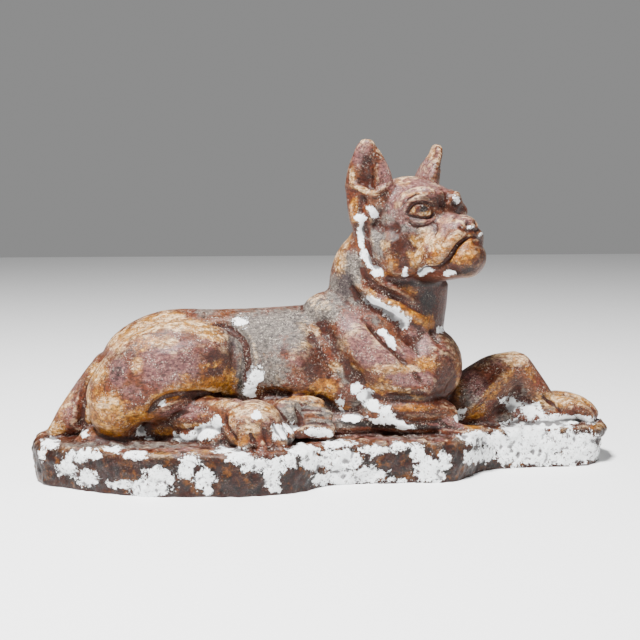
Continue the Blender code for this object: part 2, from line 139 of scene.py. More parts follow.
# %% [markdown]
# ## Trunk, neck and tail
# The trunk is one long loft, deepest at the ribs. The withers and the breast are single
# ellipsoids that sink into it. Where lumps overlap there is no need to join them neatly, because
# a later step fuses everything.

# %% Body masses
def body_masses(clay):
    """Trunk, the bed of clay that joins it to the rock, rump, withers, chest, neck and tail."""
    limb(clay, [
        (-212, 22, 46, 30, 36), (-190, 22, 58, 38, 52), (-158, 22, 66, 42, 59),
        (-115, 22, 68, 42, 57), (-70, 22, 67, 44, 59), (-20, 22, 66, 48, 63),
        (30, 22, 66, 50, 68), (75, 22, 62, 48, 62), (105, 22, 60, 40, 50),
    ], cap=0.7)
    limb(clay, [
        (-205, 22, 6, 26, 16), (-150, 24, 8, 34, 18), (-60, 24, 8, 36, 18), (40, 24, 8, 38, 18),
        (100, 24, 6, 30, 16),
    ])
    ball(clay, (-88, -2, 18), (28, 14, 24))
    ball(clay, (-38, 0, 66), (44, 30, 44))
    ball(clay, (4, 12, 118), (32, 28, 26))
    ball(clay, (101, 8, 66), (38, 38, 41))
    limb(clay, [
        (58, 20, 96, 40, 62), (62, 16, 136, 38, 62), (64, 10, 165, 36, 60), (68, 4, 186, 33, 50),
    ])
    limb(clay, [
        (-212, 26, 54, 30, 34), (-238, 20, 32, 24, 27), (-262, 12, 14, 16, 17), (-275, 6, 5, 9, 9),
    ])


# %% [markdown]
# ## Legs and paws
# The near hind leg lies folded with its toes over the edge of the rock. The other hind foot comes
# out under the belly. One foreleg is tucked, and the other has its wrist up and its paw forward.
# Toes are short lofts side by side, which leave creases between them when they fuse.

# %% Leg masses
def near_hind_leg(clay):
    """The dog's right thigh and folded foot, whose toes hang over the edge of the rock."""
    limb(clay, [
        (-113, -12, 75, 17, 37), (-146, -18, 76, 24, 43), (-180, -20, 62, 27, 46),
        (-206, -20, 42, 26, 38), (-214, -18, 25, 23, 27),
    ], cap=0.9)
    limb(clay, [
        (-166, -6, 20, 15, 20), (-148, -16, 23, 16, 20), (-118, -32, 25, 15, 19), (-98, -44, 25, 17, 20),
    ])
    ball(clay, (-140, -8, 12), (56, 20, 20))
    ball(clay, (-212, -8, 2), (40, 22, 12))
    ball(clay, (-118, -24, 6), (34, 18, 14))
    ball(clay, (-112, -42, 2), (22, 16, 16))
    ball(clay, (-80, -54, 19), (29, 23, 26))
    for start, tip in (
        ((-62, -50, 24), (-47, -55, 8)), ((-66, -58, 22), (-55, -67, 5)),
        ((-77, -62, 18), (-71, -72, 4)), ((-90, -60, 16), (-88, -70, 4)),
    ):
        limb(clay, [(*start, 9, 9), (*tip, 8, 8)])


def far_hind_leg(clay):
    """The left haunch, and the foot that comes out under the belly with its sole towards -Y."""
    limb(clay, [
        (-118, 50, 60, 16, 34), (-150, 54, 66, 20, 38), (-182, 50, 54, 22, 38), (-206, 42, 34, 22, 28),
    ])
    limb(clay, [(-70, 20, 24, 22, 22), (-54, -14, 25, 20, 19), (-50, -30, 24, 14, 15)], side=(1, 0, 0))
    ball(clay, (-38, -20, 15), (28, 17, 20))
    ball(clay, (-47, -38, 29), (15, 12, 14))
    limb(clay, [(-42, -30, 36, 6, 6), (-24, -32, 38, 6, 6), (-13, -32, 35, 5.5, 5.5)])
    limb(clay, [(-38, -36, 27, 6.5, 6.5), (-18, -38, 27.5, 6.5, 6.5), (-5, -38, 24, 6, 6)])
    limb(clay, [(-40, -42, 12, 8.5, 9), (-20, -43, 13, 9, 10), (-6, -43, 11, 8, 9)])
    ball(clay, (-62, -22, 2), (24, 28, 13))


def near_foreleg(clay):
    """The right shoulder, upper arm and forearm, with the paw tucked in front of the chest."""
    limb(clay, [
        (6, -6, 110, 14, 24), (30, -14, 90, 17, 30), (58, -18, 66, 19, 31), (90, -16, 48, 22, 28),
    ])
    ball(clay, (50, -14, 24), (22, 17, 21))
    limb(clay, [(56, -17, 22, 17, 19), (90, -19, 20, 18, 22), (116, -18, 16, 15, 18)])
    limb(clay, [(112, -22, 6, 13, 10), (136, -24, 2, 13, 7), (152, -22, 1, 11, 6)])
    ball(clay, (20, -10, 10), (50, 16, 14))


def far_foreleg(clay):
    """The left foreleg, with its wrist raised and its paw on the front of the rock."""
    limb(clay, [
        (12, 50, 106, 14, 24), (42, 56, 84, 15, 29), (76, 54, 60, 17, 29), (108, 46, 38, 19, 26),
        (138, 38, 18, 20, 24),
    ])
    limb(clay, [
        (140, 34, 14, 22, 26), (158, 32, 28, 21, 30), (180, 31, 48, 19, 25), (202, 30, 59, 16, 18),
    ])
    limb(clay, [(203, 30, 60, 15, 16), (213, 31, 47, 15, 16), (230, 35, 25, 18, 15)])
    ball(clay, (200, 36, 26), (30, 10, 28))
    ball(clay, (178, 28, 2), (36, 14, 12))
    ball(clay, (172, 40, 2), (34, 14, 16))
    ball(clay, (228, 36, 6), (40, 24, 16))
    ball(clay, (252, 38, 13), (36, 25, 18))
    for y, reach in ((19, 276), (32, 285), (45, 285), (58, 277)):
        limb(clay, [(258, y, 18, 9, 9), (reach - 6, y, 14, 9, 9), (reach + 3, y, 6, 8, 8)])


# %% [markdown]
# ## The head, in its own frame
# The head is turned and tilted, so measuring it along the body's axes would be awkward. Its own
# frame has x out through the nose, y to the dog's left and z up through the crown. A matrix turns
# that frame into place, and every lump of the head is given in it, with s as the side.

# %% Head masses
HEAD_PLACE = (86, -2, 204)
HEAD_YAW, HEAD_PITCH, HEAD_ROLL = -50, 13, -1
HEAD = (
    Matrix.Translation(HEAD_PLACE)
    @ Matrix.Rotation(math.radians(HEAD_YAW), 4, "Z")
    @ Matrix.Rotation(math.radians(-HEAD_PITCH), 4, "Y")
    @ Matrix.Rotation(math.radians(HEAD_ROLL), 4, "X")
)


def head_masses(clay):
    """Skull, cheeks, muzzle, jaw, brows and ears, in the head's own frame.

    The left side differs a little: its ear leans out and is wider, its eye stands out further and its
    brow hangs lower.
    """
    ball(clay, (-6, 0, 17), (45, 39, 40), frame=HEAD)
    ball(clay, (-20, 0, -12), (32, 38, 42), frame=HEAD)
    ball(clay, (16, 0, 18), (32, 39, 28), frame=HEAD)
    limb(clay, [(20, 0, -5, 26, 21), (44, 0, -8, 22, 17), (60, 0, -10, 19, 14)], frame=HEAD)
    ball(clay, (61, 0, -10), (12, 15, 11), frame=HEAD)
    ball(clay, (60, 0, -22), (14, 17, 12), frame=HEAD)
    ball(clay, (57, 0, -38), (20, 21, 20), frame=HEAD)
    limb(clay, [(0, 0, -34, 30, 20), (30, 0, -38, 25, 18), (50, 0, -40, 21, 17)], frame=HEAD)
    for s in (RIGHT, LEFT):
        lean, out, drop, wide = (12, 4, 8, 3) if s == LEFT else (0, 0, 0, 0)
        ball(clay, (-8, 26 * s, -20), (27, 19, 30), frame=HEAD)
        ball(clay, (12, 20 * s, -4), (28, 18, 20), frame=HEAD)
        limb(clay, [
            (62, 7 * s, -15, 11, 9), (51, 14 * s, -21, 14, 17), (38, 19 * s, -27, 13, 18),
            (24, 24 * s, -34, 9, 14),
        ], frame=HEAD)
        limb(clay, [
            (44, 10 * s, 24, 8, 8), (37, 24 * s, 25 - drop, 9, 9), (20, 34 * s, 21 - drop, 8, 9),
        ], side=(1, 0, 0), frame=HEAD)
        ball(clay, (33 + out, (23 + out) * s, 12), (10, 11, 10), frame=HEAD)
        limb(clay, [
            (-31, 46 * s, 6, 8, 8), (-24, 45 * s, 25, 17, 11), (-16, (41 + lean / 3) * s, 45, 25, 11),
            (-10, (44 + lean / 2) * s, 66, 21 + wide, 9), (-5, (48 + lean) * s, 82, 13 + wide, 6),
            (-2, (49 + lean) * s, 89, 8 + wide, 5),
        ], side=(0.88, -0.47 * s, 0), frame=HEAD)


# %% [markdown]
# ## The rock
# The base is a slab with a wandering outline, lofted upwards through a few rings. It reaches
# below the floor for now, and is cut off flat at the end, so that it stands on a true plane.

# %% Rock slab
BASE_THICKNESS = 42
ROCK_PLAN = [
    (-300, 15), (-288, -20), (-255, -42), (-226, -60), (-178, -79), (-131, -84), (-94, -89),
    (-40, -80), (-6, -58), (65, -54), (115, -56), (140, -38), (154, -20), (178, -8), (222, -4),
    (265, -4), (288, 8), (300, 38), (296, 66), (270, 82), (200, 86), (120, 84), (40, 88),
    (-60, 89), (-150, 86), (-230, 84), (-275, 70), (-296, 45),
]


def rock(clay):
    """The rock slab, lofted up through its plan, with a rounded upper edge."""
    plan = smooth_path(ROCK_PLAN + ROCK_PLAN[:1], 5)[:-1]
    rings = []
    levels = ((-50, 5), (-36, 3), (-25, 0), (-8, 0), (-3, 2), (0, 8))
    for height, inset in levels:
        ring = []
        for x, y in plan:
            out = Vector((x, y)).normalized() * inset
            ring.append(clay.verts.new((x - out.x, y - out.y, height)))
        rings.append(ring)
    for low, high in zip(rings, rings[1:]):
        for i in range(len(plan)):
            j = (i + 1) % len(plan)
            clay.faces.new((low[i], low[j], high[j], high[i]))
    clay.faces.new(rings[0][::-1])
    clay.faces.new(rings[-1])


# %% [markdown]
# ## Fusing the lumps into one skin
# A Boolean union of fifty overlapping shapes is slow and fragile. The Remesh modifier in Voxel
# mode asks only whether each little cube is inside, and wraps one even skin round the lot. A
# Smooth modifier then softens the joints, as a thumb would.

# %% Fuse and soften
VOXEL = 1.7
clay = bmesh.new()
for build in (rock, body_masses, near_hind_leg, far_hind_leg, near_foreleg, far_foreleg, head_masses):
    build(clay)
bmesh.ops.recalc_face_normals(clay, faces=clay.faces)
masses = bpy.data.objects.new("masses", bpy.data.meshes.new("masses"))
clay.to_mesh(masses.data)
clay.free()
bpy.context.scene.collection.objects.link(masses)


def applied(obj):
    """The object's mesh with its modifiers applied. The object itself is removed."""
    bpy.context.view_layer.update()
    graph = bpy.context.evaluated_depsgraph_get()
    mesh = bpy.data.meshes.new_from_object(obj.evaluated_get(graph))
    bpy.data.objects.remove(obj)
    return mesh


remesh = masses.modifiers.new("fuse", "REMESH")
remesh.mode = "VOXEL"
remesh.voxel_size = VOXEL
soften = masses.modifiers.new("soften", "SMOOTH")
soften.factor = 0.5
soften.iterations = 9
skin_mesh = applied(masses)
print("fused skin:", len(skin_mesh.vertices), "points")

# %% [markdown]
# ## Tools for carving
# The skin has hundreds of thousands of points, so the tools work on all of them at once with
# numpy. One tool relaxes a region, which melts hard joints away. The other drags a soft round
# chisel along a path: a negative height cuts a crease, and a positive one raises a ridge. Paths
# are laid on the nearest skin first, so their numbers needn't be exact.

# %% The sculptor's tools
def roughen_rock(points):
    """Moves the points of the rock's sides and rim in and out, into lumps and ledges."""
    for point in points[points[:, 2] < 6]:
        place = Vector(point)
        deep = min(1, max(0, (6 - point[2]) / 10))
        flat = Vector((point[0], point[1] - 10, 0)).normalized()
        lumps = noise.noise(place / 34) * 5 + noise.noise(place / 13 + Vector((7, 3, 1))) * 2.5
        point[:2] += np.array(flat.xy) * lumps * deep
        point[2] += noise.noise(place / 24 + Vector((0, 9, 4))) * 2


class Skin:
    """The fused skin as arrays of points and normals, so that it can be worked."""

    def __init__(self, mesh):
        self.mesh = mesh
        self.points = np.empty(len(mesh.vertices) * 3)
        mesh.vertices.foreach_get("co", self.points)
        self.points = self.points.reshape(-1, 3)
        self.edges = np.empty(len(mesh.edges) * 2, int)
        mesh.edges.foreach_get("vertices", self.edges)
        self.edges = self.edges.reshape(-1, 2)
        self.refresh()

    def refresh(self):
        """Puts the points back into the mesh and takes the normals from it."""
        self.mesh.vertices.foreach_set("co", self.points.ravel())
        self.mesh.update()
        normals = np.empty(len(self.points) * 3)
        self.mesh.vertex_normals.foreach_get("vector", normals)
        self.normals = normals.reshape(-1, 3)
        faces = [tuple(face.vertices) for face in self.mesh.polygons]
        self.tree = BVHTree.FromPolygons(self.points.tolist(), faces)

    def relax(self, centre, reach, times, frame=BODY):
        """Smooths the skin within reach of centre, less and less towards the rim."""
        away = np.linalg.norm(self.points - np.array(frame @ Vector(centre)), axis=1) / reach
        weight = 0.5 * np.clip(1 - away**2, 0, 1)
        ends = self.edges[(weight[self.edges] > 0).any(axis=1)]
        a, b = np.concatenate([ends, ends[:, ::-1]]).T
        count = np.maximum(np.bincount(a, minlength=len(self.points)), 1)
        for _ in range(times):
            mean = [np.bincount(a, self.points[b, axis], len(self.points)) / count for axis in range(3)]
            self.points += weight[:, None] * (np.stack(mean, axis=1) - self.points)

    def stroke(self, width, height, points, frame=BODY, side=1):
        """Raises the skin by height along a path, or cuts it if the height is negative.

        The path is laid on the nearest skin, and the stroke fades towards its ends. With a side
        of -1 the path is taken over to the other side of the frame.
        """
        touched = [self.tree.find_nearest(frame @ Vector((x, y * side, z)))[:2] for x, y, z in points]
        path = smooth_path([(*place, *normal) for place, normal in touched], 4)
        low, high = path[:, :3].min(axis=0) - width, path[:, :3].max(axis=0) + width
        near = np.flatnonzero(((self.points > low) & (self.points < high)).all(axis=1))
        place = self.points[near]
        best = np.full(len(near), np.inf)
        lift = np.zeros(len(near))
        for i, (start, end) in enumerate(zip(path, path[1:])):
            span = end[:3] - start[:3]
            along = np.clip((place - start[:3]) @ span / max(span @ span, 1e-9), 0, 1)
            away = np.linalg.norm(place - start[:3] - along[:, None] * span, axis=1)
            through = (i + along) / (len(path) - 1)
            fade = np.clip(np.minimum(through, 1 - through) * 5 + 0.25, 0, 1)
            facing = np.clip(self.normals[near] @ start[3:] * 1.5, 0, 1)
            closer = away < best
            best[closer] = away[closer]
            lift[closer] = (fade * facing)[closer]
        lift *= height * np.clip(1 - (best / width) ** 2, 0, 1) ** 2
        self.points[near] += self.normals[near] * lift[:, None]


# %% [markdown]
# ## Carving the forms, then the lines
# Each stroke is a width, a height and a path. The broad ones make folds of skin, muscle borders
# and ear cups. The fine ones come after them, because they'd be lost otherwise: eyelids, lips,
# nostrils and the gaps between toes. The head's strokes are listed for one side and used on both.

# %% Strokes on the head
EAR_STROKES = [
    (13, -5, [(1, -50, 74), (-6, -52, 66), (-9, -52, 56), (-9, -50, 48)]),
    (8, -5, [(-5, -49, 58), (-7, -49, 50), (-9, -50, 45)]),
    (9, -5, [(-12, -51, 36), (-17, -53, 33), (-20, -55, 27), (-19, -54, 20)]),
    (5, 3, [(-26, -56, 53), (-19, -55, 50), (-14, -53, 45), (-9, -50, 40), (-4, -46, 39),
            (1, -42, 42), (7, -36, 47)]),
    (5, 2, [(2, -45, 68), (0, -46, 57), (0, -44, 47)]),
]
FACE_FORMS = [
    (12, -5, [(19, -36, -11), (12, -39, -21), (8, -39, -32), (5, -33, -42)]),
    (12, -3, [(0, -38, 2), (13, -38, -3), (25, -35, -7), (32, -32, -6)]),
    (8, 3.5, [(18, -38, 26), (25, -33, 31), (33, -28, 33), (42, -25, 31), (48, -17, 29)]),
    (6, 2.5, [(49, -15, 30), (52, -13, 24), (53, -10, 17)]),
    (7, -4, [(50, -14, 25), (49, -11, 20), (44, -8, 15)]),
    (9, 3, [(68, -14, -15), (63, -21, -19), (56, -26, -27), (48, -28, -34), (36, -29, -36)]),
    (8, -3, [(-15, -40, -44), (-7, -34, -48), (-1, -27, -50), (11, -16, -52)]),
    (7, -5, [(-18, -51, 18), (-22, -50, 0), (-21, -50, -14), (-20, -49, -26), (-16, -43, -37)]),
    (9, -2, [(46, -6, 34), (44, -2, 26), (46, 0, 18)]),
]
FACE_LINES = [
    (4, -2, [(68, -13, -23), (73, -5, -20), (74, 3, -20), (70, 12, -22)]),
    (3.5, -3.6, [(73, 0, -19), (72, -7, -20), (69, -13, -23), (65, -18, -26), (61, -21, -31), (56, -22, -36),
               (49, -23, -41), (41, -24, -44), (29, -30, -43), (17, -25, -45), (8, -23, -46)]),
    (3, -2.5, [(22, -34, 14), (27, -35, 18), (33, -33, 21), (40, -27, 21), (44, -20, 15)]),
    (3, -2.2, [(22, -34, 13), (29, -33, 8), (36, -30, 6), (41, -22, 6), (44, -18, 10)]),
    (3.5, 2.4, [(22, -36, 17), (28, -36, 22), (35, -32, 25), (42, -25, 24)]),
    (3.5, 2, [(24, -34, 7), (31, -32, 3), (38, -26, 2), (43, -19, 5)]),
    (3, -1.8, [(22, -38, 20), (29, -36, 26), (37, -31, 28)]),
    (5, -2, [(20, -35, 5), (28, -34, -1), (35, -29, -1), (40, -22, 2)]),
    (4, -3, [(71, -9, -6), (72, -6, -8), (72, -4, -9)]),
    (4, -2.5, [(67, -15, -8), (69, -13, -12), (71, -7, -14), (72, 0, -14)]),
    (3, -1.5, [(60, -14, -2), (59, -8, 2), (59, 0, 4)]),
    (5, -1.5, [(40, -18, 1), (45, -22, -8), (46, -29, -18)]),
]

# %% Strokes on the body
BODY_FORMS = [
    (8, 4, [(21, -15, 168), (27, -18, 153), (35, -20, 145), (46, -21, 137), (61, -21, 131),
            (75, -19, 123), (88, -15, 116), (100, -9, 107)]),
    (8, -3.5, [(29, -19, 174), (34, -21, 161), (44, -22, 149), (56, -23, 142), (69, -21, 137)]),
    (6, 2.5, [(52, -24, 154), (64, -23, 147), (77, -21, 139), (86, -17, 131)]),
    (10, -3.5, [(27, -17, 140), (37, -19, 131), (53, -21, 123), (67, -20, 112), (75, -18, 104)]),
    (7, -3, [(19, -14, 151), (23, -15, 143), (27, -16, 134)]),
    (24, 4, [(14, -21, 115), (27, -30, 93), (45, -34, 77), (63, -36, 60)]),
    (16, -6, [(-14, -12, 118), (-5, -19, 101), (2, -25, 86), (10, -27, 72), (20, -27, 60), (32, -27, 50)]),
    (18, 3, [(-34, -23, 94), (-32, -27, 83), (-26, -29, 67)]),
    (10, -4, [(-26, -11, 110), (-17, -20, 97), (-10, -24, 84), (-4, -27, 68), (0, -26, 54)]),
    (9, -4, [(-69, -18, 42), (-52, -25, 44), (-32, -25, 40), (-12, -22, 37), (7, -18, 26)]),
    (8, -3, [(52, -30, 44), (66, -31, 41), (81, -34, 40), (99, -28, 40), (114, -12, 40)]),
    (9, -4, [(128, -13, 62), (124, -20, 45), (122, -22, 26)]),
    (7, 3, [(141, 12, 15), (154, 11, 26), (164, 11, 36), (177, 12, 48), (192, 14, 60)]),
    (9, -5, [(-140, -14, 122), (-120, -8, 118), (-104, -6, 110), (-90, -8, 98), (-84, -10, 84),
             (-83, -12, 68), (-88, -14, 52)]),
    (8, -5, [(-99, -30, 42), (-116, -17, 44), (-140, -35, 48), (-161, -43, 46), (-173, -44, 38),
             (-180, -41, 28)]),
    (8, -5, [(-246, -4, 2), (-248, -1, 14), (-246, -2, 34), (-241, 3, 53), (-228, -16, 76)]),
    (12, 3, [(-168, -46, 84), (-145, -41, 90), (-120, -28, 92), (-104, -22, 80)]),
    (9, 5, [(278, -8, -6), (296, 8, -6), (303, 30, -7), (300, 55, -6)]),
]
BODY_LINES = [
    (6, -5, [(32, -22, 116), (44, -27, 104), (51, -30, 96), (59, -31, 88), (67, -33, 80), (75, -34, 72)]),
    (9, -2.5, [(77, -34, 70), (87, -35, 58), (102, -30, 49), (119, -20, 49)]),
    (7, -3.5, [(102, -8, 106), (105, -12, 98), (109, -18, 90)]),
    (7, -3, [(59, -33, 22), (77, -35, 16), (98, -34, 15), (114, -31, 17)]),
    (4, -3, [(108, -36, 12), (121, -36, 11), (134, -34, 10)]),
    (6, -1.5, [(-162, -30, 24), (-140, -34, 30), (-119, -45, 36)]),
    (4, -2.5, [(-85, -80, 18), (-82, -82, 10), (-80, -84, 2)]),
    (4, -2.5, [(-70, -80, 24), (-66, -82, 14), (-62, -82, 4)]),
    (4, -2.5, [(-60, -74, 28), (-55, -76, 20), (-50, -74, 8)]),
    (6, -3, [(-110, -60, 32), (-108, -66, 20), (-100, -76, 8)]),
    (4, -3, [(-33, -44, 32), (-20, -44, 33.5), (-9, -44, 31)]),
    (4, -3.5, [(-42, -50, 18), (-32, -50, 22), (-16, -50, 22.5), (-2, -50, 19)]),
    (5, -4, [(-33, -50, 42), (-31, -50, 33), (-33, -50, 24), (-41, -50, 17)]),
    (5, -3.5, [(227, 18, 30), (240, 15, 22), (250, 12, 10)]),
    (5, -3.5, [(252, 30, 29), (266, 26, 24), (280, 24, 10)]),
    (5, -3.5, [(256, 42, 30), (270, 40, 24), (286, 39, 10)]),
    (5, -3.5, [(252, 54, 27), (266, 53, 21), (280, 51, 10)]),
]

# %% Carve
SOFTENED = [
    (BODY, (-90, 10, 40), 60, 12), (BODY, (40, 0, 100), 70, 14), (BODY, (100, 0, 50), 60, 10),
    (BODY, (-200, 0, 40), 70, 10), (BODY, (180, 30, 30), 50, 8), (BODY, (60, 10, 150), 60, 14),
    (HEAD, (10, 0, 10), 62, 10), (HEAD, (30, 0, -30), 40, 6),
]
skin = Skin(skin_mesh)
for place, centre, reach, times in SOFTENED:
    skin.relax(centre, reach, times * 2, place)
roughen_rock(skin.points)
for body, head in ((BODY_FORMS, FACE_FORMS + EAR_STROKES), (BODY_LINES, FACE_LINES)):
    skin.refresh()
    for width, height, path in body:
        skin.stroke(width, height, path)
    for width, height, path in head:
        for side in (1, -1):
            skin.stroke(width, height, path, HEAD, side)
skin.refresh()
print("strokes carved:", len(BODY_FORMS + BODY_LINES) + 2 * len(FACE_FORMS + EAR_STROKES + FACE_LINES))

# %% [markdown]
# ## Chips and lumps in the rock
# Broken plaster is rough at several sizes at once. Noise at three sizes, added together, pushes
# the skin of the rock in and out along its normals. The figure itself gets only a faint
# unevenness, like a surface finished by hand.

# %% Rough plaster
def rough(point):
    place = Vector(point)
    return noise.noise(place / 11) * 2.2 + noise.noise(place / 5) * 1.1 + noise.noise(place / 2.8) * 0.4


ROCK_TOP, ON_FIGURE = 2, 0.12
low = skin.points[:, 2] < ROCK_TOP
amount = np.where(low, 1.0, ON_FIGURE) * np.array([rough(p) for p in skin.points])
skin.points += skin.normals * amount[:, None]
skin.refresh()
print("roughened:", int(low.sum()), "points of the rock")

# %% [markdown]
# ## A flat foot, and fewer triangles
# The skin is cut by the floor plane and closed there with one face. The Decimate modifier then
# takes triangles away where the surface is nearly flat, so the detail stays where it's needed.

# %% Cut and thin
def centring(mesh):
    """The move that brings the middle of the mesh's length and depth to x = 0 and y = 0."""
    points = np.array([vert.co for vert in mesh.vertices])
    middle = (points.min(axis=0) + points.max(axis=0)) / 2
    return Matrix.Translation((-middle[0], -middle[1], 0))


TRIANGLES = 196000
skin_mesh.transform(Matrix.Translation((0, 0, BASE_THICKNESS)) @ centring(skin_mesh))
worked = bpy.data.objects.new("worked", skin_mesh)
bpy.context.scene.collection.objects.link(worked)
thin = worked.modifiers.new("thin", "DECIMATE")
thin.ratio = TRIANGLES / (2 * len(skin_mesh.polygons))
piece_mesh = applied(worked)


def cut_flat(mesh):
    """Cuts the skin off level with the underside and closes it with a flat face."""
    work = bmesh.new()
    work.from_mesh(mesh)
    geometry = work.verts[:] + work.edges[:] + work.faces[:]
    bmesh.ops.bisect_plane(
        work, geom=geometry, plane_co=(0, 0, 0), plane_no=(0, 0, 1), clear_inner=True,
    )
    bmesh.ops.holes_fill(work, edges=[edge for edge in work.edges if edge.is_boundary])
    for vert in work.verts:
        if abs(vert.co.z) < 1e-6:
            vert.co.z = 0
    bmesh.ops.triangulate(work, faces=work.faces)
    bmesh.ops.recalc_face_normals(work, faces=work.faces)
    work.to_mesh(mesh)
    work.free()


cut_flat(piece_mesh)
piece_mesh.transform(Matrix.Scale(0.001, 4))
piece_mesh.shade_smooth()
statue = bpy.data.objects.new("plaster_dog", piece_mesh)
bpy.context.scene.collection.objects.link(statue)
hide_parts("dog_statue")
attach(statue, "root")
print("statue:", len(piece_mesh.polygons), "faces", [round(d, 3) for d in statue.dimensions])

# %% [markdown]
# ## The camera comes early
# The finish is painted the way a restorer would note it: this patch is seen here, that stain
# there. So the view is set up before painting. The camera's place and lens were worked out from
# the outline of the statue in the photograph.

# %% Camera
AZIMUTH, ELEVATION, DISTANCE = math.radians(-6), math.radians(6.5), 1.086
AIM = Vector((-0.0145, -0.026, 0.160))
FOCAL_PX, PICTURE = 1102, 640
back = Vector((
    math.sin(AZIMUTH) * math.cos(ELEVATION),
    -math.cos(AZIMUTH) * math.cos(ELEVATION),
    math.sin(ELEVATION),
))
camera = bpy.data.objects.new("camera", bpy.data.cameras.new("camera"))
camera.data.sensor_width = 36
camera.data.lens = FOCAL_PX / PICTURE * 36
camera.location = AIM + back * DISTANCE
camera.rotation_euler = back.to_track_quat("Z", "Y").to_euler()
bpy.context.scene.collection.objects.link(camera)
bpy.context.scene.camera = camera


def seen_at(points):
    """Where points show in the picture, in pixels from its left and top."""
    right = Vector((0, 0, 1)).cross(back).normalized()
    up = back.cross(right)
    away = points - np.array(camera.location)
    depth = -away @ np.array(back)
    across = FOCAL_PX * (away @ np.array(right)) / depth
    rise = FOCAL_PX * (away @ np.array(up)) / depth
    return PICTURE / 2 + across, PICTURE / 2 - rise


# %% [markdown]
# ## Painting masks with soft dabs
# A mask is a number from 0 to 1 on every point of the mesh, and the material mixes its colours
# by these masks. Each dab is an oval: its middle in picture pixels and its half sizes, then, where
# they aren't 1 and 0, its strength and its turn in degrees. A dab only says roughly where a colour
# is. The material breaks its edge up with noise, so that it looks like worn finish.

